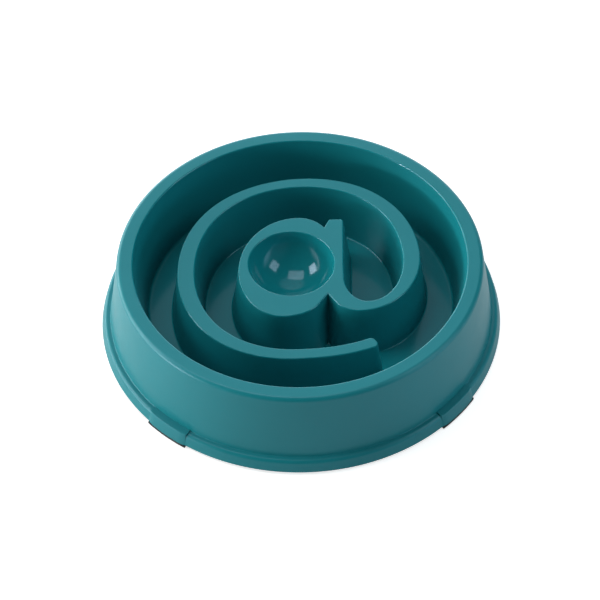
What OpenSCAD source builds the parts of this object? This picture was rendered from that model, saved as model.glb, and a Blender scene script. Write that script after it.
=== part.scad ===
// Slow feeder bowl: a one-piece plastic moulding with a spiral maze ridge, on four rubber feet.
// Origin: centre of the bowl on the table, +Z up. The maze reads upright seen from -Y.

/* [Bowl] */
// Radius of the base band at its lower edge
base_r = 100; // [94:0.5:106]
// Height of the moulding, from the band's lower edge to the rim
bowl_h = 41.7; // [38:0.1:48]
// Outer radius of the rim
rim_r = 89.4; // [87:0.1:91]
// Width of the flat top of the rim
rim_w = 7.7; // [7:0.1:9]
// Rounding of the rim's outer edge
rim_round = 2; // [1:0.1:2.5]
// Rounding of the rim's inner edge
rim_edge = 0.8; // [0.4:0.1:1]
// Radius of the floor where the inner wall would meet it
floor_r = 76.2; // [74:0.1:78]
// Height of the floor above the band's lower edge
floor_h = 7.9; // [7:0.1:10]
// Fillet between the floor and the inner wall
floor_round = 1.6; // [1:0.1:3]
// Wall thickness of the moulding
wall_t = 2.2; // [1.8:0.1:2.4]

/* [Base band] */
// Height of the band
band_h = 6.3; // [5.5:0.1:7]
// How much the band narrows from its lower to its upper edge
band_taper = 1.8; // [1.2:0.1:2.4]
// Width of the ledge where the wall rises from the band
ledge_w = 3; // [2.4:0.1:3.4]
// Rounding of the band's upper edge
band_round = 1.6; // [1:0.1:1.8]

/* [Maze ridge] */
// How far the ridge's flat top lies below the rim
ridge_drop = 5.7; // [4:0.1:8]
// Draft of the ridge's walls, in degrees
ridge_draft = 8; // [6:0.25:9]
// Rounding of the ridge's top edges
ridge_edge = 0.7; // [0.4:0.1:1]
// Fillet where the ridge stands on the floor
ridge_foot = 1; // [0.6:0.1:1.5]
// Thickness of the ridge's roof over the hollow underneath
ridge_roof = 3.5; // [2.6:0.1:5]
// Rounding of the ridge's free end, seen from above
end_round = 2.4; // [2:0.1:2.8]

/* [Ring of the maze] */
// Mean radius of the ring's centre line
ring_r = 56.8; // [54:0.2:58]
// Mean width of the ring's flat top
ring_w = 7.1; // [6.6:0.1:7.8]
// How much wider the ring is at its sides, and narrower at its top and bottom
ring_swell = 1.2; // [0.4:0.1:1.4]
// How much further the ring reaches along its long axis
ring_lean = 1.4; // [0.4:0.1:2]
// How much the ring is squared off
ring_square = 0.6; // [0:0.1:1]
// How far the ring's free end runs out of the round
tail_flare = 4.7; // [3:0.1:5.5]
// Distance of the ring's centre from the bowl's axis, along X
ring_x = -0.4; // [-1:0.1:1]

/* [Stem and hook of the maze] */
// Distance of the stem's right face from the ring's centre
stem_x = 21.6; // [20:0.1:23]
// Distance of the stem's flat end from the ring's centre
stem_y = 30.6; // [29:0.1:32]
// Width of the stem at its flat end
stem_w = 7.6; // [7:0.1:8]
// How far the stem's right face leans out towards its flat end
stem_lean = 0.8; // [0:0.1:1.2]
// Rounding of the stem's corners
stem_round = 1.5; // [1:0.1:2]
// Distance of the hook's lowest point from the ring's centre, along X
hook_x = 29.4; // [28:0.1:31]
// Distance of the hook's outer edge below the ring's centre
hook_y = 30.6; // [30:0.1:32]
// Width of the ridge at the bottom of the hook
hook_w = 6.1; // [5.8:0.1:6.6]
// Height of the bend between the hook's bottom and the stem
hook_bend = 15.5; // [14:0.1:17]

/* [Island and dish] */
// Distance of the island's left side from the ring's centre
island_x = 29.8; // [29:0.1:30.6]
// Distance of the island's top from the ring's centre
island_y = 32.3; // [31.5:0.1:33]
// Distance of the island's bottom below the ring's centre
island_low = 33.2; // [32.5:0.1:34]
// Radius of the round dish at the ridge's top
dish_r = 21.2; // [19:0.1:21.6]
// Depth of the dish
dish_h = 17; // [12:0.5:19]
// Distance of the dish's centre from the ring's centre, towards the left
dish_x = 3.8; // [3.4:0.1:4.4]
// Distance of the dish's centre from the ring's centre, towards the top
dish_y = 1.3; // [0.5:0.1:2]

/* [Feet] */
// Height of the gap under the band, which the rubber pads fill
foot_h = 1.5; // [1.2:0.1:2.5]
// Radial width of a rubber pad
foot_w = 11; // [9:0.5:13]
// Length of a pad and its boss round the band, in degrees
foot_arc = 13.5; // [11:0.5:16]
// Turn of the four feet from the diagonals, in degrees
foot_turn = 3.7; // [0:0.1:8]
// How far a boss stands out from the band's lower edge
boss_out = 0.5; // [0.3:0.1:1]
// How much a boss narrows from its lower to its upper edge
boss_taper = 1.6; // [1:0.1:1.8]
// How far a boss rises above the ledge
boss_rise = 0.6; // [0.3:0.1:1]
// Rounding of a pad's lower edges
foot_round = 0.5; // [0.3:0.1:0.8]
// Length of a pad's plug, which is pressed up into its boss
plug_h = 1.8; // [1.2:0.1:2]
// Rubber left between the plug and the pad's edges
plug_inset = 2; // [1.6:0.1:2.4]
// Clearance round a plug in its socket
plug_clear = 0.1; // [0.05:0.05:0.2]

/* [Hidden] */
$fn = 120;

plastic = [0.24, 0.53, 0.56];
rubber = [0.08, 0.08, 0.09];

// Overrun of every cut
over = 0.5;
// Steps down the dish's curve
dish_steps = 18;
// Steps in a rounded corner
round_steps = 4;
// Steps in a ridge's edge and in its fillet
edge_steps = 2;
// Steps along the ring, and in each bend of the hook
ring_steps = 58;
hook_steps = 9;
// Steps in each bend of the island
island_steps = 14;
// Smallest corner that the hollow under the ridge is cut with
core_round = 0.3;

ridge_top = bowl_h - ridge_drop;
slope = tan(ridge_draft);
dish_ball = (dish_r * dish_r + dish_h * dish_h) / (2 * dish_h);
foot_angles = [225, 315, 135, 45];

// Where the ring starts at its free end and where it runs into the hook, in degrees
ring_from = 303.3;
ring_to = 5;
// Directions of the ring's long axis, of its squared corners and of its widest sides
lean_at = 60;
square_at = 47;
swell_at = 10;
// Angle from which the free end runs out of the round, and how slowly it starts to
flare_from = 270;
flare_power = 1.6;
// Parts of the hook's and island's bends that show, in degrees
hook_end = 215;
island_turn = 338;

// The hook's inner lowest point lies this share of its radius to the right of the outer one
hook_shift_share = 0.13;
// The hook's last bend, as shares of hook_x and hook_y
hook_bend_shares = [0.46, 0.35];
// Points where the stem's hidden side runs inside the island, as shares of stem_x and stem_y
stem_hidden_shares = [[0.55, -0.54], [0.53, 0.73]];
// The island's bends, as shares of island_x, island_y and island_low
island_left_share = -0.10;
island_low_share = 0.25;
island_right_shares = [0.62, 0.66];
island_hidden_shares = [[0.56, -0.45], [0.635, 0.18]];
island_crown_share = 0.81;

// Points on a quarter bend or a part of one
function bend(c, r, from, to, n) =
    [for (i = [0:n]) let (a = from + (to - from) * i / n) [c[0] + r[0] * cos(a), c[1] + r[1] * sin(a)]];

// A polygon's corner p between its neighbours a and b, rounded to radius r
function corner(a, p, b, r) =
    let (
        u = (a - p) / norm(a - p),
        v = (b - p) / norm(b - p),
        half = acos(u * v) / 2,
        mid = (u + v) / norm(u + v),
        c = p + mid * r / sin(half),
        s = u * r / tan(half) + p - c,
        e = v * r / tan(half) + p - c
    )
    [for (i = [0:round_steps]) let (w = s + (e - s) * i / round_steps) c + w * r / norm(w)];

// Unit vector to the left of a step
function left_of(v) = [-v[1], v[0]] / norm(v);

// Offsets along an open line of points, mitred so that the moved edges stay parallel
function mitres(pts) =
    let (last = len(pts) - 1)
    [for (i = [0:last])
        let (
            a = left_of(pts[max(i, 1)] - pts[max(i, 1) - 1]),
            b = left_of(pts[min(i, last - 1) + 1] - pts[min(i, last - 1)])
        )
        (a + b) / (1 + a * b)];

function moved(pts, d) = let (m = mitres(pts)) [for (i = [0:len(pts) - 1]) pts[i] + m[i] * d];

// Heights and outward offsets of the ridge's rings, from inside the floor up to the flat top
function foot_levels() =
    let (d = (ridge_top - floor_h) * slope + ridge_foot * (1 / cos(ridge_draft) - slope))
    concat(
        [[floor_h - wall_t / 2, d]],
        [for (i = [0:edge_steps])
            let (a = (90 - ridge_draft) * i / edge_steps)
            [floor_h + ridge_foot * (1 - cos(a)), d - ridge_foot * sin(a)]]
    );

function edge_levels() =
    let (d = ridge_edge * (slope - 1 / cos(ridge_draft)))
    [for (i = [edge_steps:-1:0])
        let (a = (90 - ridge_draft) * i / edge_steps)
        [ridge_top - ridge_edge * (1 - cos(a)), d + ridge_edge * sin(a)]];

function ridge_levels() = concat(foot_levels(), edge_levels());

// The same for the hollow underneath, one wall inside the ridge
function core_levels() =
    [for (z = [floor_h - wall_t - over, ridge_top - ridge_roof])
        [z, (ridge_top - z) * slope - wall_t / cos(ridge_draft)]];

// The ring's centre line and width at an angle
function ring_mid(a) =
    ring_r + ring_lean * cos(2 * (a - lean_at)) + ring_square * cos(4 * (a - square_at))
    + tail_flare * pow(max(0, a - flare_from) / (ring_from - flare_from), flare_power);

function ring_side(sign) =
    [for (i = [0:ring_steps])
        let (
            a = ring_from + (ring_to - ring_from) * i / ring_steps,
            r = ring_mid(a) + sign * (ring_w + ring_swell * cos(2 * (a - swell_at))) / 2
        )
        [r * cos(a), r * sin(a)]];

// The stroke's left side, seen from its free end: the ring's outer side, the hook and the stem
function stroke_left() =
    let (
        ring = ring_side(1),
        p = ring[ring_steps],
        low = [hook_x * hook_bend_shares[0], hook_y * hook_bend_shares[1]]
    )
    concat(
        ring,
        [for (i = [1:hook_steps])
            bend([hook_x, p[1]], [p[0] - hook_x, p[1] + hook_y], 0, -90, hook_steps)[i]],
        [for (i = [1:hook_steps])
            bend([hook_x, low[1] - hook_y], low, -90, hook_end - 360, hook_steps)[i]],
        [for (s = stem_hidden_shares) [s[0] * stem_x, s[1] * stem_y]],
        [[stem_x + stem_lean - stem_w, stem_y - stem_round]]
    );

// The stroke's right side: the ring's inner side, the inside of the hook and the stem's right face
function stroke_right() =
    let (
        ring = ring_side(-1),
        p = ring[ring_steps],
        x = hook_x * (1 + hook_shift_share),
        y = hook_y - hook_w
    )
    concat(
        ring,
        [for (i = [1:hook_steps]) bend([x, p[1]], [p[0] - x, p[1] + y], 0, -90, hook_steps)[i]],
        [for (i = [1:hook_steps]) bend([x, hook_bend - y], [x - stem_x, hook_bend], -90, -180, hook_steps)[i]],
        [for (s = stem_hidden_shares) let (t = max(s[1], 0)) [stem_x + stem_lean * t, t * stem_y]],
        [[stem_x + stem_lean, stem_y - stem_round]]
    );

// A stroke's end past its last pair of points, grown by d and with rounded corners
function end_cap(l, r, round, d) =
    let (
        v = (l - r) / norm(l - r),
        u = [v[1], -v[0]],
        half = norm(l - r) / 2 + d,
        m = (l + r) / 2,
        c = max(round + d, core_round),
        far = round + d - c
    )
    [for (i = [0:round_steps])
        let (a = 90 * i / round_steps, w = half - c * (1 - cos(a)), q = m + u * (far + c * sin(a)))
        [q + v * w, q - v * w]];

// The whole stroke grown by d, as pairs of a left and a right point
function stroke(d) =
    let (
        l = stroke_left(),
        r = stroke_right(),
        ml = moved(l, d),
        mr = moved(r, -d),
        last = len(l) - 1,
        start = end_cap(r[0], l[0], end_round, d),
        end = end_cap(l[last], r[last], stem_round, d)
    )
    concat(
        [for (i = [round_steps:-1:0]) [start[i][1], start[i][0]]],
        [for (i = [1:last - 1]) [ml[i], mr[i]]],
        end
    );

// Closed outline of the island grown by d
function island(d) =
    let (
        left = island_x * island_left_share,
        low = -island_low * island_low_share,
        r = [island_x * island_right_shares[0], island_low * (1 - island_right_shares[1])],
        top = island_y * (1 - island_crown_share),
        pts = concat(
            bend([0, left], [island_x, island_y - left], 90, 180, island_steps),
            bend([low, left], [island_x + low, island_low + left], 180, 270, island_steps),
            bend([low, r[1] - island_low], r, 270, island_turn, island_steps),
            [for (s = island_hidden_shares) [s[0] * island_x, s[1] * island_y]],
            bend([0, top], [island_hidden_shares[1][0] * island_x, island_y - top], 0, 90, island_steps)
        ),
        ring = [for (i = [0:len(pts) - 1])
            if (norm(pts[i] - pts[(i + 1) % len(pts)]) > core_round / 2) pts[i]],
        n = len(ring),
        m = mitres(concat([ring[n - 1]], ring, [ring[0]]))
    )
    [for (i = [0:n - 1]) ring[i] - m[i + 1] * d];

// Triangles between rings of m points, stacked from the lowest up
function wall_faces(levels, m) =
    [for (k = [0:levels - 2], j = [0:m - 1])
        let (a = k * m + j, b = k * m + (j + 1) % m)
        for (f = [[a, a + m, b + m], [a, b + m, b]]) f];

// A solid with drafted walls from a stroke's pairs of points
module stroke_solid(levels) {
    rings = [for (l = levels)
        let (s = stroke(l[1]), n = len(s))
        for (p = concat([for (i = [0:n - 1]) s[i][1]], [for (i = [n - 1:-1:0]) s[i][0]])) [p[0], p[1], l[0]]];
    m = len(rings) / len(levels);
    top = len(rings) - m;
    caps = [for (i = [0:m / 2 - 2])
        let (j = m - 1 - i)
        for (f = [
            [top + i, top + j, top + j - 1],
            [top + i, top + j - 1, top + i + 1],
            [i, j - 1, j],
            [i, i + 1, j - 1]
        ]) f];
    polyhedron(rings, concat(wall_faces(len(levels), m), caps));
}

// A solid with drafted walls from the island's outline
module island_solid(levels) {
    rings = [for (l = levels) for (p = island(l[1])) [p[0], p[1], l[0]]];
    m = len(rings) / len(levels);
    top = len(rings) - m;
    caps = [for (i = [1:m - 2]) for (f = [[top, top + i + 1, top + i], [0, i, i + 1]]) f];
    polyhedron(rings, concat(wall_faces(len(levels), m), caps));
}

// Radius of the outer wall at a height
function wall_r(z) = rim_r + (base_r - band_taper - ledge_w - rim_r) * (bowl_h - z) / (bowl_h - band_h);

// The bowl without its ridge: rim, double wall, band and floor, turned round the axis
module shell() {
    step_h = band_h - wall_t;
    ledge_r = wall_r(band_h);
    inner_r = rim_r - rim_w;
    band_top = corner([base_r, 0], [base_r - band_taper, band_h], [ledge_r, band_h], band_round);
    rim_out = corner([ledge_r, band_h], [rim_r, bowl_h], [inner_r, bowl_h], rim_round);
    rim_in = corner([rim_r, bowl_h], [inner_r, bowl_h], [floor_r, floor_h], rim_edge);
    floor_in = corner([inner_r, bowl_h], [floor_r, floor_h], [0, floor_h], floor_round);
    rotate_extrude()
        polygon(concat(
            [
                [0, floor_h - wall_t],
                [floor_r + wall_t, floor_h - wall_t],
                [inner_r + wall_t, bowl_h - wall_t],
                [rim_r - wall_t, bowl_h - wall_t],
                [ledge_r - wall_t, step_h],
                [base_r - band_taper - wall_t, step_h],
                [base_r - wall_t, 0],
                [base_r, 0]
            ],
            band_top,
            [[ledge_r, band_h]],
            rim_out, rim_in, floor_in,
            [[0, floor_h]]
        ));
}

// A section swept round a part of the band
module arc_solid(points, arc) {
    rotate([0, 0, -arc / 2])
        rotate_extrude(angle = arc)
            polygon(points);
}

// The same for a block between two radii and two heights
module arc_block(r0, r1, z0, z1, arc) {
    arc_solid([[r0, z0], [r1, z0], [r1, z1], [r0, z1]], arc);
}

// Angle that a length takes at the middle of a pad
function pad_angle(length) = length / (base_r - foot_w / 2) * 180 / PI;

// Thickened stretch of the band that carries a foot, with a shelf over the plug's socket
module boss() {
    outer = base_r + boss_out;
    inner = wall_r(band_h) - wall_t / 2;
    top = band_h + boss_rise;
    arc_block(outer - foot_w, base_r - wall_t / 2, 0, plug_h + wall_t, foot_arc);
    arc_solid([[inner, 0], [outer, 0], [outer - boss_taper, top], [inner, top]], foot_arc);
}

// The plug of a pad, or with a clearance its socket
module plug(clear) {
    outer = base_r + boss_out;
    arc_block(
        outer - foot_w + plug_inset - clear,
        outer - plug_inset + clear,
        -over,
        plug_h + clear,
        foot_arc - pad_angle(2 * (plug_inset - clear))
    );
}

// The dish: a part of a ball, with a rounded lip at the ridge's flat top
module dish() {
    rise = dish_ball - dish_h;
    reach = dish_ball + ridge_edge;
    lip_x = sqrt(reach * reach - pow(rise + ridge_edge, 2));
    lip = asin(lip_x / reach);
    translate([-dish_x, dish_y, ridge_top])
        rotate_extrude()
            polygon(concat(
                [for (i = [0:dish_steps])
                    let (a = lip * i / dish_steps)
                    [dish_ball * sin(a), rise - dish_ball * cos(a)]],
                [for (i = [1:round_steps])
                    let (a = lip * (1 - i / round_steps))
                    [lip_x - ridge_edge * sin(a), ridge_edge * (cos(a) - 1)]],
                [[lip_x, over], [0, over]]
            ));
}

// The dish's wall, which the hollow underneath leaves standing
module dish_wall() {
    translate([-dish_x, dish_y, ridge_top + dish_ball - dish_h]) sphere(r = dish_ball + wall_t);
}

module bowl() {
    color(plastic)
        translate([0, 0, foot_h])
            difference() {
                union() {
                    shell();
                    for (a = foot_angles) rotate([0, 0, a + foot_turn]) boss();
                    translate([ring_x, 0, 0]) stroke_solid(ridge_levels());
                    translate([ring_x, 0, 0]) island_solid(ridge_levels());
                }
                translate([ring_x, 0, 0]) dish();
                translate([ring_x, 0, 0])
                    difference() {
                        union() {
                            stroke_solid(core_levels());
                            island_solid(core_levels());
                        }
                        dish_wall();
                    }
                for (a = foot_angles) rotate([0, 0, a + foot_turn]) plug(plug_clear);
            }
}

// A rubber pad: a flange under the boss and a plug pressed into it
module foot(k) {
    outer = base_r + boss_out;
    color(rubber)
        rotate([0, 0, foot_angles[k] + foot_turn]) {
            arc_solid(
                [
                    [outer - foot_w + foot_round, 0],
                    [outer - foot_round, 0],
                    [outer, foot_round],
                    [outer, foot_h],
                    [outer - foot_w, foot_h],
                    [outer - foot_w, foot_round]
                ],
                foot_arc
            );
            translate([0, 0, foot_h]) plug(0);
        }
}

module foot_front_left() foot(0);
module foot_front_right() foot(1);
module foot_back_left() foot(2);
module foot_back_right() foot(3);

bowl();
foot_front_left();
foot_front_right();
foot_back_left();
foot_back_right();
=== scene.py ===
"""Slow feeder bowl: a teal moulding with a spiral maze ridge, on four rubber pads.

Sizes are in millimetres, as in the part's source, and each finished mesh is turned into
metres. Heights are measured from the band's lower edge until a mesh is finished, when it
is lifted on to the pads.
"""
import logging
import math
from collections.abc import Callable, Sequence
from dataclasses import dataclass, field
from enum import Enum

import bmesh
import bpy
from bmesh.types import BMEdge, BMesh, BMFace, BMVert
from bpy.types import ID, Material, Mesh, MeshPolygon, Node, NodeSocket, Object, World
from mathutils import Matrix, Vector


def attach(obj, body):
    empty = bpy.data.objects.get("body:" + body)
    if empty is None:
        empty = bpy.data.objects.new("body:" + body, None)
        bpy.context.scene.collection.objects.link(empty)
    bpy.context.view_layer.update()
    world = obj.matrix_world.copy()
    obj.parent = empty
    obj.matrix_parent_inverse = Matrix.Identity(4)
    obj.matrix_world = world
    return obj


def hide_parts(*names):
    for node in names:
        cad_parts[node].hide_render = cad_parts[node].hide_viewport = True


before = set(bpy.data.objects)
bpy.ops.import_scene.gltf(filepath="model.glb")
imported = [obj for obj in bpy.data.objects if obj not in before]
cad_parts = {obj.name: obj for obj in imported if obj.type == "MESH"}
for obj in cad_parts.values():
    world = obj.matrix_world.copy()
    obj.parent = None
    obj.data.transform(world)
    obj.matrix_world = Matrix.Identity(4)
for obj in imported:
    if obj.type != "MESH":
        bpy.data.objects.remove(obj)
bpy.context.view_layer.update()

log = logging.getLogger("slow_feeder_bowl")

MM = 0.001
FULL_TURN = 2 * math.pi
WELD = 1e-4
ON_RING = 10 * WELD
SHARP_TURN = 1.0  # radians
FACING_UP = 0.5


class Slot(Enum):
    """The material slots for the plastic and the rubber."""

    PLASTIC = "teal_plastic"
    RUBBER = "black_rubber"


class Cut(Enum):
    """What a tool solid does to the solid that it is set against."""

    JOIN = "UNION"
    REMOVE = "DIFFERENCE"


@dataclass(frozen=True)
class Level:
    """One ring of a drafted wall.

    Args:
        height: height of the ring.
        growth: how far the ring lies outside the outline that it follows.
    """

    height: float
    growth: float


@dataclass(frozen=True)
class Corner:
    """One corner of a turned profile.

    Args:
        radius: distance from the axis.
        height: height above the band's lower edge.
        rounding: radius of the rounding or fillet, or 0 for none.
        steps: segments of that rounding.
    """

    radius: float
    height: float
    rounding: float = 0.0
    steps: int = 4

    def point(self) -> Vector:
        """The corner as a point in the XZ plane."""
        return Vector((self.radius, 0.0, self.height))


@dataclass(frozen=True)
class BowlSizes:
    """Main sizes, as in the part's source, but for softer rim_round and band_round."""

    base_r: float = 100.0
    height: float = 41.7
    rim_r: float = 89.4
    rim_w: float = 7.7
    rim_round: float = 2.4
    rim_edge: float = 0.8
    floor_r: float = 76.2
    floor_h: float = 7.9
    floor_round: float = 1.6
    wall: float = 2.2
    band_h: float = 6.3
    band_taper: float = 1.8
    ledge_w: float = 3.0
    band_round: float = 2.1
    ridge_drop: float = 5.7
    draft: float = math.radians(8.0)
    ridge_edge: float = 0.7
    ridge_foot: float = 1.0
    ridge_roof: float = 3.5
    foot_h: float = 1.5
    foot_w: float = 11.0
    foot_arc: float = math.radians(13.5)
    foot_turn: float = math.radians(3.7)
    boss_out: float = 0.5
    boss_taper: float = 1.6
    boss_rise: float = 0.6
    plug_h: float = 1.8
    plug_inset: float = 2.0
    plug_clear: float = 0.1

    @property
    def ridge_top(self) -> float:
        """Height of the ridge's flat top."""
        return self.height - self.ridge_drop

    @property
    def slope(self) -> float:
        """How far a drafted wall moves out for each unit that it goes down."""
        return math.tan(self.draft)

    @property
    def inner_r(self) -> float:
        """Radius of the rim's inner edge."""
        return self.rim_r - self.rim_w

    def wall_r(self, height: float) -> float:
        """Radius of the outer wall.

        Args:
            height: height above the band's lower edge.

        Returns:
            The radius there.
        """
        low = self.base_r - self.band_taper - self.ledge_w
        share = (self.height - height) / (self.height - self.band_h)
        return self.rim_r + (low - self.rim_r) * share


def as_mesh(bm: BMesh, name: str) -> Mesh:
    """Turns a bmesh into a mesh and frees it.

    Args:
        bm: the bmesh.
        name: name of the new mesh.

    Returns:
        The mesh.
    """
    mesh = bpy.data.meshes.new(name)
    bm.to_mesh(mesh)
    bm.free()
    return mesh


def placed(name: str, data: ID) -> Object:
    """Puts a mesh, a lamp or a camera into the scene.

    Args:
        name: name of the new object.
        data: what it shows.

    Returns:
        The object.
    """
    thing = bpy.data.objects.new(name, data)
    bpy.context.scene.collection.objects.link(thing)
    return thing


def finished_mesh(bm: BMesh, name: str, lift: float) -> Mesh:
    """Turns a bmesh in millimetres into a mesh in metres and frees it.

    Args:
        bm: the solid.
        name: name of the new mesh.
        lift: how far the solid is lifted, in millimetres.

    Returns:
        The mesh, with smooth faces.
    """
    bmesh.ops.translate(bm, verts=bm.verts, vec=(0.0, 0.0, lift))
    bmesh.ops.scale(bm, verts=bm.verts, vec=(MM, MM, MM))
    for face in bm.faces:
        face.smooth = True
    return as_mesh(bm, name)


def edges_where(
    bm: BMesh, test: Callable[[Vector, Vector], bool], over: float = -1.0
) -> list[BMEdge]:
    """The edges whose two ends pass a test.

    Args:
        bm: the mesh.
        test: takes both ends of an edge.
        over: least angle between an edge's two faces.

    Returns:
        The edges.
    """
    chosen = [e for e in bm.edges if test(e.verts[0].co, e.verts[1].co)]
    return [e for e in chosen if e.calc_face_angle(0.0) > over]


def round_edges(bm: BMesh, edges: Sequence[BMEdge], offset: float, steps: int) -> None:
    """Rounds edges with a bevel.

    Args:
        bm: the mesh.
        edges: the edges to round.
        offset: distance from an edge to where its rounding starts.
        steps: segments of the rounding.
    """
    bmesh.ops.bevel(
        bm, geom=edges, offset=offset, offset_type="OFFSET", affect="EDGES", segments=steps,
        profile=0.5, material=-1, clamp_overlap=True,
    )


def turned_solid(corners: Sequence[Corner], steps: int) -> BMesh:
    """Turns a profile that starts and ends on the axis, and rounds its corners.

    Args:
        corners: the profile, from the axis to the axis.
        steps: steps of the full turn.

    Returns:
        A closed solid with its faces pointing outwards.
    """
    bm = bmesh.new()
    verts = [bm.verts.new(c.point()) for c in corners]
    edges = [bm.edges.new(pair) for pair in zip(verts, verts[1:])]
    bmesh.ops.spin(
        bm, geom=verts + edges, cent=(0.0, 0.0, 0.0), axis=(0.0, 0.0, 1.0), angle=FULL_TURN,
        steps=steps, use_merge=True, use_duplicate=False,
    )
    bmesh.ops.remove_doubles(bm, verts=bm.verts, dist=WELD)
    bmesh.ops.recalc_face_normals(bm, faces=bm.faces)
    for before, corner, after in zip(corners, corners[1:], corners[2:]):
        if corner.rounding:
            round_ring(bm, before, corner, after)
    return bm


def round_ring(bm: BMesh, before: Corner, corner: Corner, after: Corner) -> None:
    """Rounds one ring of a turned solid to its corner's radius.

    Args:
        bm: the turned solid.
        before: the corner before it on the profile.
        corner: the corner to round.
        after: the corner after it.
    """
    here = corner.point()
    half = (before.point() - here).angle(after.point() - here) / 2

    def on_ring(co: Vector) -> bool:
        """Whether a point lies on the corner's ring."""
        return max(abs(co.z - corner.height), abs(co.xy.length - corner.radius)) < ON_RING

    ring = edges_where(bm, lambda a, b: on_ring(a) and on_ring(b))
    round_edges(bm, ring, corner.rounding / math.tan(half), corner.steps)


def swept_block(corners: Sequence[tuple[float, float]], arc: float, steps: int) -> BMesh:
    """A block round a part of a circle, centred on the +X axis.

    Args:
        corners: its section, as pairs of a radius and a height.
        arc: the angle that it takes.
        steps: steps along the arc.

    Returns:
        A closed solid with its faces pointing outwards.
    """
    bm = bmesh.new()
    section = bm.faces.new([bm.verts.new((r, 0.0, z)) for r, z in corners])
    bmesh.ops.rotate(bm, verts=bm.verts, matrix=Matrix.Rotation(-arc / 2, 3, "Z"))
    bmesh.ops.spin(
        bm, geom=[section, *section.edges, *section.verts], cent=(0.0, 0.0, 0.0),
        axis=(0.0, 0.0, 1.0), angle=arc, steps=steps, use_duplicate=False,
    )
    bmesh.ops.remove_doubles(bm, verts=bm.verts, dist=WELD)
    bmesh.ops.holes_fill(bm, edges=bm.edges)
    bmesh.ops.recalc_face_normals(bm, faces=bm.faces)
    return bm


def turned(bm: BMesh, angle: float) -> BMesh:
    """Turns a solid about the bowl's axis and hands it back."""
    bmesh.ops.rotate(bm, verts=bm.verts, matrix=Matrix.Rotation(angle, 3, "Z"))
    return bm


def moved(bm: BMesh, by: Sequence[float]) -> BMesh:
    """Moves a solid and hands it back."""
    bmesh.ops.translate(bm, verts=bm.verts, vec=by)
    return bm


def ellipse_part(
    centre: tuple[float, float], radii: tuple[float, float], start: float, end: float, steps: int
) -> list[Vector]:
    """Points along a part of an ellipse.

    Args:
        centre: its centre.
        radii: its radii along X and Y.
        start: the first angle, in degrees.
        end: the last angle, in degrees.
        steps: steps between the two.

    Returns:
        The points, both ends included.
    """
    turns = [math.radians(start + (end - start) * i / steps) for i in range(steps + 1)]
    (x, y), (wide, long) = centre, radii
    return [Vector((x + wide * math.cos(turn), y + long * math.sin(turn))) for turn in turns]


def eased(points: Sequence[Vector], passes: int) -> list[Vector]:
    """Eases the kinks out of an open line of points, whose ends stay.

    Args:
        points: the line.
        passes: how often each point moves halfway to its neighbours' middle.

    Returns:
        The eased line.
    """
    line = list(points)
    for _ in range(passes):
        inner = [(a + 2 * b + c) / 4 for a, b, c in zip(line, line[1:], line[2:])]
        line = [line[0], *inner, line[-1]]
    return line


def left_of(step: Vector) -> Vector:
    """Unit vector to the left of a step."""
    return Vector((-step.y, step.x)).normalized()


def beside(line: Sequence[Vector], distance: float) -> list[Vector]:
    """The inner points of an open line, moved to its left with mitred corners.

    Args:
        line: the line's points.
        distance: how far it moves, or less than zero to move it to the right.

    Returns:
        The moved points, without the line's two ends.
    """
    points = []
    for before, here, after in zip(line, line[1:], line[2:]):
        a = left_of(here - before)
        b = left_of(after - here)
        points.append(here + (a + b) / (1 + a.dot(b)) * distance)
    return points


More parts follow.
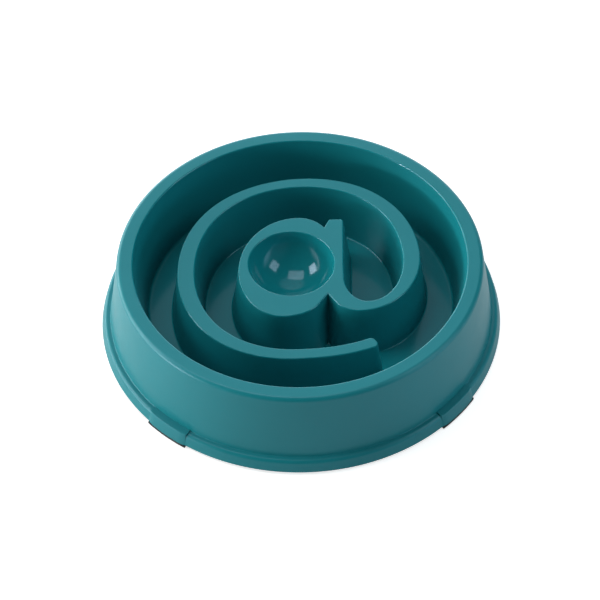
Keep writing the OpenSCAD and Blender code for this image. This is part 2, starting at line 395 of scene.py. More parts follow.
@dataclass(frozen=True)
class MazeOutline:
    """Outlines of the maze seen from above: a stroke and a round island that it runs into."""

    ring_r: float = 56.8
    ring_w: float = 7.1
    ring_swell: float = 1.2
    ring_lean: float = 1.4
    ring_square: float = 0.6
    ring_from: float = 303.3
    ring_to: float = 5.0
    ring_steps: int = 230
    lean_at: float = 60.0
    square_at: float = 47.0
    swell_at: float = 10.0
    tail_flare: float = 4.7
    flare_from: float = 270.0
    flare_power: float = 1.6
    end_round: float = 2.4
    end_steps: int = 8
    least_round: float = 0.3
    stem_x: float = 21.6
    stem_y: float = 30.6
    stem_w: float = 7.6
    stem_lean: float = 0.8
    stem_round: float = 1.5
    stem_hidden_shares: tuple[tuple[float, float], ...] = ((0.55, -0.54), (0.53, 0.73))
    hook_x: float = 29.4
    hook_y: float = 30.6
    hook_w: float = 6.1
    hook_bend: float = 15.5
    hook_end: float = 215.0
    hook_shift_share: float = 0.13
    hook_bend_shares: tuple[float, float] = (0.46, 0.35)
    hook_steps: int = 36
    island_x: float = 29.8
    island_y: float = 32.3
    island_low: float = 33.2
    island_turn: float = 338.0
    island_left_share: float = -0.10
    island_low_share: float = 0.25
    island_right_shares: tuple[float, float] = (0.62, 0.66)
    island_hidden_shares: tuple[tuple[float, float], ...] = ((0.56, -0.45), (0.635, 0.18))
    island_crown_share: float = 0.81
    island_steps: int = 48
    ease_passes: int = 8

    def ring_mid(self, angle: float) -> float:
        """Radius of the ring's centre line.

        Args:
            angle: direction from the ring's centre, in degrees.

        Returns:
            The radius there.
        """
        flare = max(0.0, angle - self.flare_from) / (self.ring_from - self.flare_from)
        return (
            self.ring_r
            + self.ring_lean * math.cos(math.radians(2 * (angle - self.lean_at)))
            + self.ring_square * math.cos(math.radians(4 * (angle - self.square_at)))
            + self.tail_flare * flare**self.flare_power
        )

    def ring_side(self, sign: int) -> list[Vector]:
        """One side of the ring, from its free end on.

        Args:
            sign: 1 for the outer side and -1 for the inner one.

        Returns:
            The side's points.
        """
        side = []
        for i in range(self.ring_steps + 1):
            angle = self.ring_from + (self.ring_to - self.ring_from) * i / self.ring_steps
            swell = self.ring_swell * math.cos(math.radians(2 * (angle - self.swell_at)))
            radius = self.ring_mid(angle) + sign * (self.ring_w + swell) / 2
            turn = math.radians(angle)
            side.append(Vector((radius * math.cos(turn), radius * math.sin(turn))))
        return side

    def left_side(self) -> list[Vector]:
        """The stroke's left side, seen from its free end: ring, hook and stem.

        Returns:
            The side's points.
        """
        ring = self.ring_side(1)
        end = ring[-1]
        low_x = self.hook_x * self.hook_bend_shares[0]
        low_y = self.hook_y * self.hook_bend_shares[1]
        outer = ellipse_part(
            (self.hook_x, end.y), (end.x - self.hook_x, end.y + self.hook_y), 0, -90,
            self.hook_steps,
        )
        last = ellipse_part(
            (self.hook_x, low_y - self.hook_y), (low_x, low_y), -90, self.hook_end - 360,
            self.hook_steps,
        )
        shown = eased([*ring, *outer[1:], *last[1:]], self.ease_passes)
        hidden = [Vector((x * self.stem_x, y * self.stem_y)) for x, y in self.stem_hidden_shares]
        foot = Vector((self.stem_x + self.stem_lean - self.stem_w, self.stem_y - self.stem_round))
        return [*shown, *hidden, foot]

    def right_side(self) -> list[Vector]:
        """The stroke's right side: ring, the inside of the hook and the stem's right face.

        Returns:
            The side's points.
        """
        ring = self.ring_side(-1)
        end = ring[-1]
        low_x = self.hook_x * (1 + self.hook_shift_share)
        low_y = self.hook_y - self.hook_w
        outer = ellipse_part(
            (low_x, end.y), (end.x - low_x, end.y + low_y), 0, -90, self.hook_steps
        )
        inner = ellipse_part(
            (low_x, self.hook_bend - low_y), (low_x - self.stem_x, self.hook_bend), -90, -180,
            self.hook_steps,
        )
        shown = eased([*ring, *outer[1:], *inner[1:]], self.ease_passes)
        face = [
            Vector((self.stem_x + self.stem_lean * t, self.stem_y * t))
            for t in (0.0, self.stem_hidden_shares[1][1])
        ]
        foot = Vector((self.stem_x + self.stem_lean, self.stem_y - self.stem_round))
        return [*shown, *face, foot]

    def end_cap(
        self, left: Vector, right: Vector, rounding: float, growth: float
    ) -> list[tuple[Vector, Vector]]:
        """One end of the stroke, with rounded corners.

        Args:
            left: last point of the left side, seen towards the end.
            right: last point of the right side.
            rounding: the corners' radius at no growth, which is also the end's reach.
            growth: how far the stroke is grown.

        Returns:
            Pairs of a left and a right point, on towards the end.
        """
        across = (left - right).normalized()
        along = Vector((across.y, -across.x))
        middle = (left + right) / 2
        half = (left - right).length / 2 + growth
        radius = max(rounding + growth, self.least_round)
        pairs = []
        for i in range(self.end_steps + 1):
            turn = math.pi / 2 * i / self.end_steps
            wide = half - radius * (1 - math.cos(turn))
            place = middle + along * (rounding + growth - radius * (1 - math.sin(turn)))
            pairs.append((place + across * wide, place - across * wide))
        return pairs

    def stroke(self, growth: float) -> list[Vector]:
        """The whole stroke's closed outline.

        Args:
            growth: how far it lies outside the outline at the height of sharp edges.

        Returns:
            The outline's points, as many at every growth.
        """
        left = self.left_side()
        right = self.right_side()
        start = self.end_cap(right[0], left[0], self.end_round, growth)
        end = self.end_cap(left[-1], right[-1], self.stem_round, growth)
        right_line = [*beside(right, -growth), *(pair[1] for pair in end)]
        left_line = [*(pair[1] for pair in reversed(start)), *beside(left, growth)]
        back = [*left_line, *(pair[0] for pair in end)]
        return [*(pair[0] for pair in reversed(start)), *right_line, *reversed(back)]

    def island(self, growth: float) -> list[Vector]:
        """The island's closed outline.

        Args:
            growth: how far it lies outside the outline at the height of sharp edges.

        Returns:
            The outline's points, as many at every growth.
        """
        left = self.island_x * self.island_left_share
        low = -self.island_low * self.island_low_share
        right = (
            self.island_x * self.island_right_shares[0],
            self.island_low * (1 - self.island_right_shares[1]),
        )
        top = self.island_y * (1 - self.island_crown_share)
        crown_x = self.island_hidden_shares[1][0] * self.island_x
        parts = (
            ((0, top), (crown_x, self.island_y - top), 0, 90),
            ((0, left), (self.island_x, self.island_y - left), 90, 180),
            ((low, left), (self.island_x + low, self.island_low + left), 180, 270),
            ((low, right[1] - self.island_low), right, 270, self.island_turn),
        )
        shown = [p for part in parts for p in ellipse_part(*part, self.island_steps)[1:]]
        hidden = [
            Vector((x * self.island_x, y * self.island_y)) for x, y in self.island_hidden_shares
        ]
        loop = [*eased(shown, self.ease_passes), *hidden]
        return beside([loop[-1], *loop, loop[0]], -growth)


def drafted_solid(outline: Callable[[float], list[Vector]], levels: Sequence[Level]) -> BMesh:
    """A solid whose wall follows an outline and draws in as it rises.

    Args:
        outline: takes a growth and gives the closed outline.
        levels: the wall's rings from the lowest up.

    Returns:
        A closed solid with its faces pointing outwards.
    """
    bm = bmesh.new()
    place = bm.verts.layers.int.new("place")
    lowest = levels[0]
    top = bm.faces.new([bm.verts.new((*p, lowest.height)) for p in outline(lowest.growth)])
    for number, vert in enumerate(top.verts):
        vert[place] = number
    for level in levels[1:]:
        made = bmesh.ops.extrude_face_region(bm, geom=[top, *top.edges])["geom"]
        top = next(g for g in made if isinstance(g, BMFace))
        points = outline(level.growth)
        for vert in top.verts:
            vert.co = (*points[vert[place]], level.height)
    bmesh.ops.recalc_face_normals(bm, faces=bm.faces)
    return bm


@dataclass
class Workpiece:
    """A solid that other solids are joined to or cut from, one after the other."""

    name: str
    base: BMesh
    tools: list[tuple[Cut, BMesh]] = field(default_factory=list)

    def join(self, tool: BMesh) -> None:
        """Notes a solid to join."""
        self.tools.append((Cut.JOIN, tool))

    def remove(self, tool: BMesh) -> None:
        """Notes a solid to cut away."""
        self.tools.append((Cut.REMOVE, tool))

    def solved(self) -> BMesh:
        """Runs every join and cut, and clears the helper objects away.

        Returns:
            The resulting solid.
        """
        body = placed(self.name, as_mesh(self.base, self.name))
        helpers = [body]
        for number, (cut, tool) in enumerate(self.tools):
            tool_name = f"{self.name}_tool_{number}"
            helper = placed(tool_name, as_mesh(tool, tool_name))
            helpers.append(helper)
            modifier = body.modifiers.new(f"step_{number}", "BOOLEAN")
            modifier.operation = cut.value
            modifier.solver = "EXACT"
            modifier.object = helper
        depsgraph = bpy.context.evaluated_depsgraph_get()
        depsgraph.update()
        bm = bmesh.new()
        bm.from_mesh(body.evaluated_get(depsgraph).to_mesh())
        for helper in helpers:
            mesh = helper.data
            bpy.data.objects.remove(helper)
            bpy.data.meshes.remove(mesh)
        bmesh.ops.remove_doubles(bm, verts=bm.verts, dist=WELD)
        bmesh.ops.dissolve_degenerate(bm, edges=bm.edges, dist=WELD)
        bmesh.ops.recalc_face_normals(bm, faces=bm.faces)
        return bm


@dataclass(frozen=True)
class Grain:
    """A pattern of noise.

    Args:
        scale: how many features fit in a metre.
        detail: layers of finer noise.
        roughness: how strong those layers are.
    """

    scale: float
    detail: float
    roughness: float


@dataclass(frozen=True)
class Relief:
    """A layer of bumps.

    Args:
        grain: the noise that it follows.
        strength: share of the bumps that shows.
        height: height of a full bump, in metres.
    """

    grain: Grain
    strength: float
    height: float


class NodeSheet:
    """The node tree of a material or a world, with short calls to add and link nodes."""

    noise_span: tuple[float, float] = (0.3, 0.7)

    def __init__(self, owner: Material | World) -> None:
        """Empties the owner's node tree.

        Args:
            owner: a new material or world.
        """
        self.owner = owner
        owner.use_nodes = True
        self.tree = owner.node_tree
        self.tree.nodes.clear()

    def add(self, kind: str, **settings: object) -> Node:
        """Adds a node.

        Args:
            kind: the node's type, without ShaderNode in front.
            **settings: attributes to set on it.

        Returns:
            The node.
        """
        node = self.tree.nodes.new("ShaderNode" + kind)
        for key, value in settings.items():
            setattr(node, key, value)
        return node

    def link(self, out: NodeSocket, into: NodeSocket) -> None:
        """Links an output to an input."""
        self.tree.links.new(out, into)

    def sum_of(self, value: NodeSocket, more: NodeSocket | float) -> NodeSocket:
        """Adds another output or a plain number to a value.

        Args:
            value: the value.
            more: what is added.

        Returns:
            The sum.
        """
        node = self.add("Math", operation="ADD")
        self.link(value, node.inputs[0])
        if isinstance(more, float):
            node.inputs[1].default_value = more
        else:
            self.link(more, node.inputs[1])
        return node.outputs[0]

    def noise(self, grain: Grain) -> NodeSocket:
        """Noise that sits still on the object.

        Args:
            grain: the pattern.

        Returns:
            The noise's value.
        """
        place = self.add("TexCoord")
        noise = self.add("TexNoise", noise_dimensions="3D")
        noise.inputs["Scale"].default_value = grain.scale
        noise.inputs["Detail"].default_value = grain.detail
        noise.inputs["Roughness"].default_value = grain.roughness
        self.link(place.outputs["Object"], noise.inputs["Vector"])
        return noise.outputs["Fac"]

    def mapped(
        self, value: NodeSocket, given: Sequence[float], wanted: Sequence[float],
        course: str = "LINEAR",
    ) -> NodeSocket:
        """Maps a value from one range to another, and stays within it.

        Args:
            value: the value.
            given: the range that it comes in.
            wanted: the range that it is mapped to.
            course: how it runs from one end to the other.

        Returns:
            The mapped value.
        """
        node = self.add("MapRange", clamp=True, interpolation_type=course)
        for key, number in zip(("From Min", "From Max", "To Min", "To Max"), (*given, *wanted)):
            node.inputs[key].default_value = number
        self.link(value, node.inputs["Value"])
        return node.outputs["Result"]

    def spread(self, value: NodeSocket, wanted: Sequence[float] = (0.0, 1.0)) -> NodeSocket:
        """Maps noise, which mostly runs over a middling span, to a range."""
        return self.mapped(value, self.noise_span, wanted)

    def mixed(
        self, factor: NodeSocket, first: Sequence[float], second: Sequence[float]
    ) -> NodeSocket:
        """Mixes two colours.

        Args:
            factor: 0 for the first colour and 1 for the second.
            first: the first colour.
            second: the second colour.

        Returns:
            The mixed colour.
        """
        node = self.add("Mix", data_type="RGBA")
        for socket, colour in zip((s for s in node.inputs if s.type == "RGBA"), (first, second)):
            socket.default_value = (*colour, 1.0)
        self.link(factor, node.inputs["Factor"])
        return next(s for s in node.outputs if s.type == "RGBA")

    def bumped(self, relief: Relief, under: NodeSocket | None = None) -> NodeSocket:
        """Adds a layer of bumps.

        Args:
            relief: the layer.
            under: normal of the layer below it.

        Returns:
            The bumped normal.
        """
        bump = self.add("Bump")
        bump.inputs["Strength"].default_value = relief.strength
        bump.inputs["Distance"].default_value = relief.height
        self.link(self.noise(relief.grain), bump.inputs["Height"])
        if under is not None:
            self.link(under, bump.inputs["Normal"])
        return bump.outputs["Normal"]

    def finish(self, shader: Node, output: str = "OutputMaterial") -> Material | World:
        """Sends a shader to the output and hands the owner back."""
        self.link(shader.outputs[0], self.add(output).inputs["Surface"])
        return self.owner


@dataclass(frozen=True)
class TealPlastic:
    """Moulded plastic, dyed through: a polished dish, a nearly polished floor, satin elsewhere."""

    deep: tuple[float, float, float] = (0.005, 0.194, 0.224)
    pale: tuple[float, float, float] = (0.007, 0.209, 0.242)
    dye: Grain = Grain(18.0, 3.0, 0.55)
    gloss: tuple[float, float] = (0.09, 0.13)
    polish: Grain = Grain(120.0, 4.0, 0.6)
    satin: float = 0.25
    satin_mark: str = "satin"
    swim: Relief = Relief(Grain(140.0, 1.0, 0.4), 0.25, 0.00003)
    pores: Relief = Relief(Grain(2600.0, 2.0, 0.5), 0.12, 0.000012)
    sheen_tint: tuple[float, float, float] = (0.65, 0.80, 1.0)
    ior: float = 1.50

    def material(self) -> Material:
        """Builds the node material.

        Returns:
            The material, which is satin where the mesh's satin mark is 1.
        """
        sheet = NodeSheet(bpy.data.materials.new("moulded_teal_plastic"))
        shader = sheet.add("BsdfPrincipled")
        dye = sheet.spread(sheet.noise(self.dye))
        sheet.link(sheet.mixed(dye, self.deep, self.pale), shader.inputs["Base Color"])
        polish = sheet.spread(sheet.noise(self.polish), self.gloss)
        marks = sheet.add("Attribute", attribute_name=self.satin_mark)
        satin = sheet.mapped(marks.outputs["Fac"], (0.0, 1.0), (0.0, self.satin))
        sheet.link(sheet.sum_of(polish, satin), shader.inputs["Roughness"])
        sheet.link(sheet.bumped(self.pores, sheet.bumped(self.swim)), shader.inputs["Normal"])
        shader.inputs["IOR"].default_value = self.ior
        shader.inputs["Specular Tint"].default_value = (*self.sheen_tint, 1.0)
        return sheet.finish(shader)


@dataclass(frozen=True)
class BlackRubber:
    """Matt moulded rubber with a fine leathery grain."""

    deep: tuple[float, float, float] = (0.010, 0.010, 0.011)
    pale: tuple[float, float, float] = (0.020, 0.020, 0.022)
    bloom: Grain = Grain(260.0, 3.0, 0.6)
    roughness: tuple[float, float] = (0.55, 0.75)
    leather: Relief = Relief(Grain(1800.0, 3.0, 0.6), 0.5, 0.00004)

    def material(self) -> Material:
        """Builds the node material.

        Returns:
            The material.
        """
        sheet = NodeSheet(bpy.data.materials.new("matt_black_rubber"))
        shader = sheet.add("BsdfPrincipled")
        bloom = sheet.noise(self.bloom)
        colour = sheet.mixed(sheet.spread(bloom), self.deep, self.pale)
        sheet.link(colour, shader.inputs["Base Color"])
        sheet.link(sheet.spread(bloom, self.roughness), shader.inputs["Roughness"])
        sheet.link(sheet.bumped(self.leather), shader.inputs["Normal"])
        return sheet.finish(shader)


@dataclass(frozen=True)
class StudioFloor:
    """Pale matt floor with the bowl's shadow, white to the camera and dimmer in reflections."""

    colour: tuple[float, float, float] = (0.76, 0.76, 0.76)
    lift: float = 0.72
    mirrored: float = 0.31

    def material(self) -> Material:
        """Builds the node material.

        Returns:
            The material.
        """
        sheet = NodeSheet(bpy.data.materials.new("pale_studio_floor"))
        matt = sheet.add("BsdfDiffuse")
        matt.inputs["Color"].default_value = (*self.colour, 1.0)
        glow = sheet.add("Emission")
        rays = sheet.add("LightPath")
        mirrored = sheet.add("Math", operation="MAXIMUM")
        sheet.link(rays.outputs["Is Glossy Ray"], mirrored.inputs[0])
        sheet.link(rays.outputs["Is Transmission Ray"], mirrored.inputs[1])
        seen = sheet.mapped(rays.outputs["Is Camera Ray"], (0.0, 1.0), (0.0, self.lift))
        dimmed = sheet.mapped(mirrored.outputs[0], (0.0, 1.0), (0.0, self.lift * self.mirrored))
        sheet.link(sheet.sum_of(seen, dimmed), glow.inputs["Strength"])
        both = sheet.add("AddShader")
        sheet.link(matt.outputs[0], both.inputs[0])
        sheet.link(glow.outputs[0], both.inputs[1])
        return sheet.finish(both)


@dataclass
class MouldedBowl:
    """The one-piece moulding: double wall, base band, floor, maze ridge and dish."""

    sizes: BowlSizes = BowlSizes()
    outline: MazeOutline = MazeOutline()
    ring_x: float = -0.4
    dish_r: float = 21.2
    dish_h: float = 17.0
    dish_x: float = 3.8
    dish_y: float = 1.3
    band_fillet: float = 0.5
    lower_edge: float = 0.35
    boss_fade: float = 4.0
    boss_dip: float = 0.56
    boss_steps: int = 40
    socket_steps: int = 12
    inside_round: float = 0.8
    turn_steps: int = 192
    dish_turn_steps: int = 128
    dish_steps: int = 28
    round_steps: int = 8
    edge_steps: int = 6
    fillet_steps: int = 5
    lower_steps: int = 3
    overrun: float = 0.5
    weld_dip: float = 0.004
    level_from: float = 0.99
    inside_share: float = 0.10
    wall_share: float = 0.90
    steep_below: float = 0.30
    sharp_from: float = math.radians(34.0)
    flat_lead: int = 80

    def shell(self) -> BMesh:
        """The bowl without its ridge, turned round the axis.

        Returns:
            The solid.
        """
        s = self.sizes
        step_h = s.band_h - s.wall
        ledge_r = s.wall_r(s.band_h)
        band_r = s.base_r - s.band_taper
        return turned_solid(
            [
                Corner(0.0, s.floor_h - s.wall),
                Corner(s.floor_r + s.wall, s.floor_h - s.wall, self.inside_round),
                Corner(s.inner_r + s.wall, s.height - s.wall, self.inside_round),
                Corner(s.rim_r - s.wall, s.height - s.wall, self.inside_round),
                Corner(ledge_r - s.wall, step_h, self.inside_round),
                Corner(band_r - s.wall, step_h, self.inside_round),
                Corner(s.base_r - s.wall, 0.0, self.lower_edge, self.lower_steps),
                Corner(s.base_r, 0.0, self.lower_edge, self.lower_steps),
                Corner(band_r, s.band_h, s.band_round, self.round_steps),
                Corner(ledge_r, s.band_h, self.band_fillet, self.fillet_steps),
                Corner(s.rim_r, s.height, s.rim_round, self.round_steps),
                Corner(s.inner_r, s.height, s.rim_edge, self.edge_steps),
                Corner(s.floor_r, s.floor_h, s.floor_round, self.round_steps),
                Corner(0.0, s.floor_h),
            ],
            self.turn_steps,
        )

    def ridge_levels(self) -> list[Level]:
        """Rings of the ridge's wall: foot fillet, drafted wall and rounded top edge.

        Returns:
            The rings from the lowest up.
        """
        s = self.sizes
        lean = math.pi / 2 - s.draft
        slant = 1 / math.cos(s.draft)
        toe = (s.ridge_top - s.floor_h) * s.slope + s.ridge_foot * (slant - s.slope)
        levels = [Level(s.floor_h - s.wall / 2, toe)]
        for i in range(self.edge_steps + 1):
            turn = lean * i / self.edge_steps
            rise = s.ridge_foot * (1 - math.cos(turn)) - self.weld_dip
            levels.append(Level(s.floor_h + rise, toe - s.ridge_foot * math.sin(turn)))
        edge = s.ridge_edge * (s.slope - slant)
        for i in range(self.edge_steps, -1, -1):
            turn = lean * i / self.edge_steps
            drop = s.ridge_edge * (1 - math.cos(turn))
            levels.append(Level(s.ridge_top - drop, edge + s.ridge_edge * math.sin(turn)))
        return levels

    def hollow_levels(self) -> list[Level]:
        """Rings of the hollow under the ridge, one wall inside it.

        Returns:
            The rings from the lowest up.
        """
        s = self.sizes
        low = s.floor_h - s.wall - self.overrun
        high = s.ridge_top - s.ridge_roof
        inset = s.wall / math.cos(s.draft)
        return [Level(z, (s.ridge_top - z) * s.slope - inset) for z in (low, high)]

    def maze(self, levels: Sequence[Level]) -> list[BMesh]:
        """The maze's stroke and island as two drafted solids."""
        outlines = (self.outline.stroke, self.outline.island)
        return [moved(drafted_solid(o, levels), (self.ring_x, 0.0, 0.0)) for o in outlines]

    def dish_tool(self) -> BMesh:
        """The solid that cuts the dish: a part of a ball with a rounded lip.

        Returns:
            The solid to cut away.
        """
        s = self.sizes
        ball = self.ball_r
        rise = ball - self.dish_h
        reach = ball + s.ridge_edge
        lip_x = math.sqrt(reach**2 - (rise + s.ridge_edge) ** 2)
        lip = math.asin(lip_x / reach)
        corners = []
        for i in range(self.dish_steps + 1):
            turn = lip * i / self.dish_steps
            corners.append(Corner(ball * math.sin(turn), rise - ball * math.cos(turn)))
        for i in range(self.edge_steps - 1, -1, -1):
            turn = lip * i / self.edge_steps
            corners.append(Corner(
                lip_x - s.ridge_edge * math.sin(turn), s.ridge_edge * (math.cos(turn) - 1)
            ))
        corners += [Corner(lip_x, self.overrun), Corner(0.0, self.overrun)]
        return moved(turned_solid(corners, self.dish_turn_steps), self.dish_place)

    @property
    def ball_r(self) -> float:
        """Radius of the ball that the dish is a part of."""
        return (self.dish_r**2 + self.dish_h**2) / (2 * self.dish_h)

    @property
    def dish_place(self) -> Vector:
        """Centre of the dish at the ridge's flat top."""
        return Vector((self.ring_x - self.dish_x, self.dish_y, self.sizes.ridge_top))

    def dish_ball(self) -> BMesh:
        """The ball that leaves a wall standing under the dish.

        Returns:
            The solid.
        """
        bm = bmesh.new()
        bmesh.ops.create_uvsphere(
            bm, u_segments=self.dish_turn_steps, v_segments=self.dish_turn_steps // 2,
            radius=self.ball_r + self.sizes.wall,
        )
        return moved(bm, self.dish_place + Vector((0.0, 0.0, self.ball_r - self.dish_h)))

    def hollow(self) -> BMesh:
        """The hollow under the ridge, with the dish's wall left out of it.

        Returns:
            The solid to cut away.
        """
        stroke, island = self.maze(self.hollow_levels())
        core = Workpiece("hollow", stroke)
        core.join(island)
        core.remove(self.dish_ball())
        return core.solved()

    def boss(self, angle: float) -> BMesh:
        """The thickened stretch of the band over a foot, with its shelf inside the band.

        Its ends run out into the band, boss_dip deep over a length of boss_fade.

        Args:
            angle: the foot's direction.

        Returns:
            The solid.
        """
        s = self.sizes
        outer = s.base_r + s.boss_out
        wall = s.wall_r(s.band_h) - s.wall / 2
        inner = outer - s.foot_w
        shelf = s.plug_h + s.wall
        low = -self.weld_dip
        high = s.band_h + s.boss_rise
        top_r = outer - s.boss_taper
        front = [(outer, low), (top_r, high)]
        back = [(wall, high), (wall, shelf), (inner, shelf)]
        block = swept_block([(inner, low), *front, *back], s.foot_arc, self.boss_steps)
        outside = edges_where(
            block, lambda a, b: min(a.xy.length, b.xy.length) > top_r - self.lower_edge
        )
        round_edges(block, outside, self.lower_edge, self.lower_steps)
        for vert in block.verts:
            reach = vert.co.xy.length
            if reach > top_r - 2 * self.lower_edge:
                left = (s.foot_arc / 2 - abs(math.atan2(vert.co.y, vert.co.x))) * s.base_r
                dip = max(0.0, 1 - left / self.boss_fade) ** 2 * self.boss_dip
                vert.co.xy *= 1 - dip / reach
        bmesh.ops.remove_doubles(block, verts=block.verts, dist=WELD)
        return turned(block, angle)

    def socket(self, angle: float) -> BMesh:
        """The socket that a foot's plug is pressed into.

        Args:
            angle: the foot's direction.

        Returns:
            The solid to cut away.
        """
        s = self.sizes
        gap = s.plug_inset - s.plug_clear
        outer = s.base_r + s.boss_out - gap
        inner = s.base_r + s.boss_out - s.foot_w + gap
        top = s.plug_h + s.plug_clear
        section = [(inner, -self.overrun), (outer, -self.overrun), (outer, top), (inner, top)]
        arc = s.foot_arc - 2 * gap / (s.base_r - s.foot_w / 2)
        return turned(swept_block(section, arc, self.socket_steps), angle)

    def satin_share(self, face: MeshPolygon) -> float:
        """How satin a face is: fully outside and on flat tops, and not at all in the dish.

        Inside, the walls are nearly as satin as the outside, and the floor is nearly polished.

        Args:
            face: the finished mesh's face.

        Returns:
            Its share from 0 to 1.
        """
        s = self.sizes
        reach = face.center.xy.length / MM
        height = face.center.z / MM - s.foot_h
        on_top = height > s.ridge_top - s.ridge_edge and face.normal.z > self.level_from
        if on_top or reach > s.rim_r - s.rim_round:
            return 1.0
        in_dish = (face.center.xy / MM - self.dish_place.xy).length < self.dish_r + s.ridge_edge
        if in_dish and height > s.floor_h + s.ridge_foot:
            return 0.0
        return self.wall_share if face.normal.z < self.steep_below else self.inside_share

    def build(self, finish: TealPlastic, foot_angles: Sequence[float]) -> Object:
        """Builds the moulding and dresses it.

        Args:
            finish: its plastic.
            foot_angles: directions of the four feet.

        Returns:
            The finished object.
        """
        work = Workpiece("moulding", self.shell())
        for solid in self.maze(self.ridge_levels()):
            work.join(solid)
        for angle in foot_angles:
            work.join(self.boss(angle))
        work.remove(self.dish_tool())
        work.remove(self.hollow())
        for angle in foot_angles:
            work.remove(self.socket(angle))
        mesh = finished_mesh(work.solved(), "bowl_moulding", self.sizes.foot_h)
        mesh.set_sharp_from_angle(angle=self.sharp_from)
        marks = mesh.attributes.new(finish.satin_mark, "FLOAT", "FACE")
        marks.data.foreach_set("value", [self.satin_share(face) for face in mesh.polygons])
        mesh.materials.append(finish.material())
        bowl = placed("bowl_moulding", mesh)
        weighted = bowl.modifiers.new("flat_faces_lead", "WEIGHTED_NORMAL")
        weighted.keep_sharp = True
        weighted.weight = self.flat_lead
        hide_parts("bowl")
        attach(bowl, "root")
        return bowl


@dataclass
class RubberPad:
    """One rubber foot: a flange under its boss and a plug pressed up into it."""

    node: str
    angle: float
    sizes: BowlSizes = BowlSizes()
    edge: float = 0.4
    edge_steps: int = 3
    plug_edge: float = 0.3
    plug_edge_steps: int = 2
    steps: int = 18
    sharp_from: float = math.radians(40.0)

    def build(self, finish: Material) -> Object:
        """Builds the pad and dresses it.

        Args:
            finish: its rubber.

        Returns:
            The finished object.
        """
        s = self.sizes
        outer = s.base_r + s.boss_out
        inner = outer - s.foot_w
        section = [(inner, -s.foot_h), (outer, -s.foot_h), (outer, 0.0), (inner, 0.0)]
        bm = swept_block(section, s.foot_arc, self.steps)
        crown = [f for f in bm.faces if f.normal.z > FACING_UP]
        bmesh.ops.inset_region(
            bm, faces=crown, thickness=s.plug_inset, use_even_offset=True, use_boundary=True
        )
        made = bmesh.ops.extrude_face_region(bm, geom=crown)["geom"]
        raised = [g for g in made if isinstance(g, BMVert)]
        bmesh.ops.delete(bm, geom=crown, context="FACES")
        bmesh.ops.translate(bm, verts=raised, vec=(0.0, 0.0, s.plug_h))
        bmesh.ops.recalc_face_normals(bm, faces=bm.faces)
        sole = edges_where(bm, lambda a, b: max(a.z, b.z) < WELD - s.foot_h, SHARP_TURN)
        round_edges(bm, sole, self.edge, self.edge_steps)
        tip = edges_where(bm, lambda a, b: min(a.z, b.z) > s.plug_h - WELD, SHARP_TURN)
        round_edges(bm, tip, self.plug_edge, self.plug_edge_steps)
        name = f"{self.node}_rubber"
        mesh = finished_mesh(turned(bm, self.angle), name, s.foot_h)
        mesh.set_sharp_from_angle(angle=self.sharp_from)
        mesh.materials.append(finish)
        pad = placed(name, mesh)
        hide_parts(self.node)
        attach(pad, "root")
        return pad


def towards(azimuth: float, elevation: float) -> Vector:
    """Unit vector in a direction.

    Args:
        azimuth: degrees from +X.
        elevation: degrees above the horizon.

    Returns:
        The vector.
    """
    turn = math.radians(azimuth)
    rise = math.radians(elevation)
    return Vector((
        math.cos(rise) * math.cos(turn), math.cos(rise) * math.sin(turn), math.sin(rise)
    ))


@dataclass(frozen=True)
class Glow:
    """A soft bright patch of the surroundings, like a lit studio wall.

    Args:
        azimuth: direction of its middle, in degrees from +X.
        elevation: height of its middle above the horizon, in degrees.
        strength: brightness of its middle, where 1 is white.
        core: angle from its middle to where it starts to fade, in degrees.
        reach: angle from its middle to where it ends, in degrees.
    """

    azimuth: float
    elevation: float
    strength: float
    core: float = 12.0
    reach: float = 48.0

    def add_to(self, sheet: NodeSheet) -> NodeSocket:
        """Adds the patch's nodes to the world's tree.

        Args:
            sheet: the world's node tree.

        Returns:
            The patch's brightness in each direction.
        """
        place = sheet.add("TexCoord")
        facing = sheet.add("VectorMath", operation="DOT_PRODUCT")
        facing.inputs[1].default_value = towards(self.azimuth, self.elevation)
        sheet.link(place.outputs["Generated"], facing.inputs[0])
        ends = (math.cos(math.radians(self.reach)), math.cos(math.radians(self.core)))
        return sheet.mapped(facing.outputs["Value"], ends, (0.0, self.strength), "SMOOTHSTEP")


@dataclass(frozen=True)
class Softbox:
    """A rectangular lamp that faces the bowl.

    Args:
        name: the lamp's name.
        azimuth: its direction from the bowl, in degrees from +X.
        elevation: its height above the horizon, in degrees.
        width: its level side, in metres.
        height: its other side, in metres.
        glow: its brightness, where 1 is white.
        roll: its turn about the line to the bowl, in degrees.
        colour: its colour.
        distance: its distance from the bowl, in metres.
    """

    name: str
    azimuth: float
    elevation: float
    width: float
    height: float
    glow: float
    roll: float = 0.0
    colour: tuple[float, float, float] = (1.0, 1.0, 1.0)
    distance: float = 1.3

    def build(self) -> None:
        """Adds the lamp to the scene."""
        data = bpy.data.lights.new(self.name, "AREA")
        data.shape = "RECTANGLE"
        data.size = self.width
        data.size_y = self.height
        data.energy = self.glow * math.pi * self.width * self.height
        data.color = self.colour
        lamp = placed(self.name, data)
        away = towards(self.azimuth, self.elevation)
        face = away.to_track_quat("Z", "Y").to_matrix().to_4x4()
        lamp.matrix_world = (
            Matrix.Translation(away * self.distance)
            @ face
            @ Matrix.Rotation(math.radians(self.roll), 4, "Z")
        )
        lamp.visible_camera = False


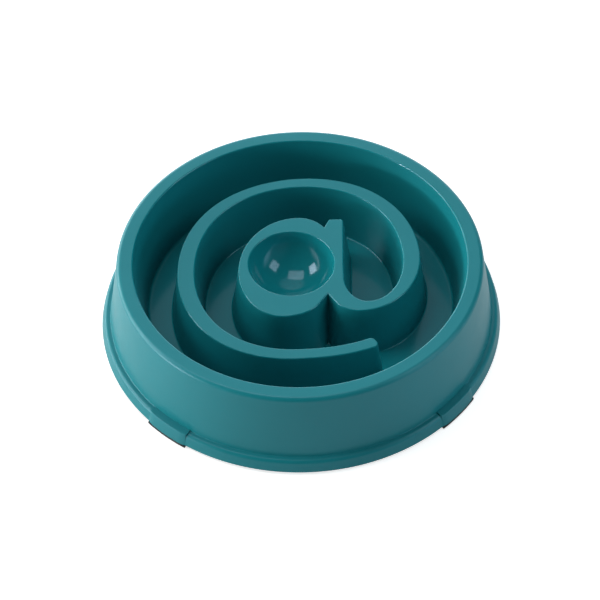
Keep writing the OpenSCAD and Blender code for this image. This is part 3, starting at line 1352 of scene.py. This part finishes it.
@dataclass
class Studio:
    """Floor, lamps, surroundings and camera.

    The camera's place is in metres, and its focal length in pixels of the square picture.
    """

    floor_finish: StudioFloor = StudioFloor()
    floor_size: float = 6.0
    floor_gap: float = 0.0001
    surround: float = 0.030
    left_tint: tuple[float, float, float] = (1.0, 0.98, 0.94)
    right_tint: tuple[float, float, float] = (0.62, 0.90, 1.0)
    tint_span: tuple[float, float] = (-0.6, 0.6)
    camera_place: tuple[float, float, float] = (-0.00038, -0.65985, 0.75290)
    camera_pitch: float = 48.33
    camera_roll: float = -1.28
    focal_px: float = 1985.6
    image_px: float = 600.0
    sensor: float = 36.0
    softboxes: tuple[Softbox, ...] = (
        Softbox("key_left", 172.0, 37.0, 0.50, 0.41, 8.6, 11.0),
        Softbox("fill_right", -11.0, 45.0, 0.56, 0.46, 4.0, -6.0, (0.90, 0.97, 1.0)),
        Softbox("top", 139.0, 76.0, 0.56, 0.84, 2.8, 31.0),
        Softbox("low_left", 201.0, 7.0, 0.22, 0.13, 54.0),
    )
    glows: tuple[Glow, ...] = (
        Glow(195.0, -8.0, 2.8, 12.0, 36.0),
        Glow(165.0, -8.0, 6.2, 12.0, 36.0),
        Glow(130.0, -8.0, 4.0, 12.0, 38.0),
        Glow(90.0, 0.0, 3.6, 8.0, 41.0),
        Glow(-10.0, -6.0, 2.3, 12.0, 37.0),
        Glow(-45.0, 8.0, 0.2),
        Glow(90.0, 54.0, 0.64, 14.0, 30.0),
    )

    def floor(self) -> None:
        """Lays the floor that the pads stand on."""
        bm = bmesh.new()
        bmesh.ops.create_grid(bm, x_segments=1, y_segments=1, size=self.floor_size / 2)
        bmesh.ops.translate(bm, verts=bm.verts, vec=(0.0, 0.0, -self.floor_gap))
        floor = placed("studio_floor", as_mesh(bm, "studio_floor"))
        floor.data.materials.append(self.floor_finish.material())

    def surroundings(self) -> None:
        """Dim even light from all round, with softly glowing walls, plain white to the camera."""
        sheet = NodeSheet(bpy.data.worlds.new("soft_studio"))
        first, *others = self.glows
        total = sheet.sum_of(first.add_to(sheet), self.surround)
        for glow in others:
            total = sheet.sum_of(total, glow.add_to(sheet))
        light = sheet.add("Background")
        place = sheet.add("TexCoord")
        across = sheet.add("SeparateXYZ")
        sheet.link(place.outputs["Generated"], across.inputs[0])
        side = sheet.mapped(across.outputs["X"], self.tint_span, (0.0, 1.0))
        sheet.link(sheet.mixed(side, self.left_tint, self.right_tint), light.inputs["Color"])
        sheet.link(total, light.inputs["Strength"])
        white = sheet.add("Background")
        white.inputs["Color"].default_value = (1.0, 1.0, 1.0, 1.0)
        rays = sheet.add("LightPath")
        either = sheet.add("MixShader")
        sheet.link(rays.outputs["Is Camera Ray"], either.inputs[0])
        sheet.link(light.outputs[0], either.inputs[1])
        sheet.link(white.outputs[0], either.inputs[2])
        bpy.context.scene.world = sheet.finish(either, "OutputWorld")

    def camera(self) -> None:
        """Sets the camera at the photograph's angle."""
        data = bpy.data.cameras.new("photo_camera")
        data.sensor_width = self.sensor
        data.sensor_height = self.sensor
        data.lens = self.focal_px / self.image_px * self.sensor
        camera = placed("photo_camera", data)
        camera.matrix_world = (
            Matrix.Translation(self.camera_place)
            @ Matrix.Rotation(math.radians(90.0 - self.camera_pitch), 4, "X")
            @ Matrix.Rotation(math.radians(self.camera_roll), 4, "Z")
        )
        bpy.context.scene.camera = camera

    def build(self) -> None:
        """Sets the whole studio up."""
        self.camera()
        self.floor()
        self.surroundings()
        for softbox in self.softboxes:
            softbox.build()
        bpy.context.scene.view_settings.view_transform = "Standard"


def report(piece: Object) -> None:
    """Logs a finished piece's name and face count."""
    log.info("%s: %d faces", piece.name, len(piece.data.polygons))


def main() -> None:
    """Builds the studio, the bowl and its feet."""
    logging.basicConfig(level=logging.INFO, format="%(name)s: %(message)s")
    Studio().build()
    sizes = BowlSizes()
    feet = {
        "foot_front_left": 225.0,
        "foot_front_right": 315.0,
        "foot_back_left": 135.0,
        "foot_back_right": 45.0,
    }
    angles = {node: math.radians(angle) + sizes.foot_turn for node, angle in feet.items()}
    report(MouldedBowl(sizes).build(TealPlastic(), list(angles.values())))
    rubber = BlackRubber().material()
    for node, angle in angles.items():
        report(RubberPad(node, angle, sizes).build(rubber))


if __name__ == "__main__":
    main()
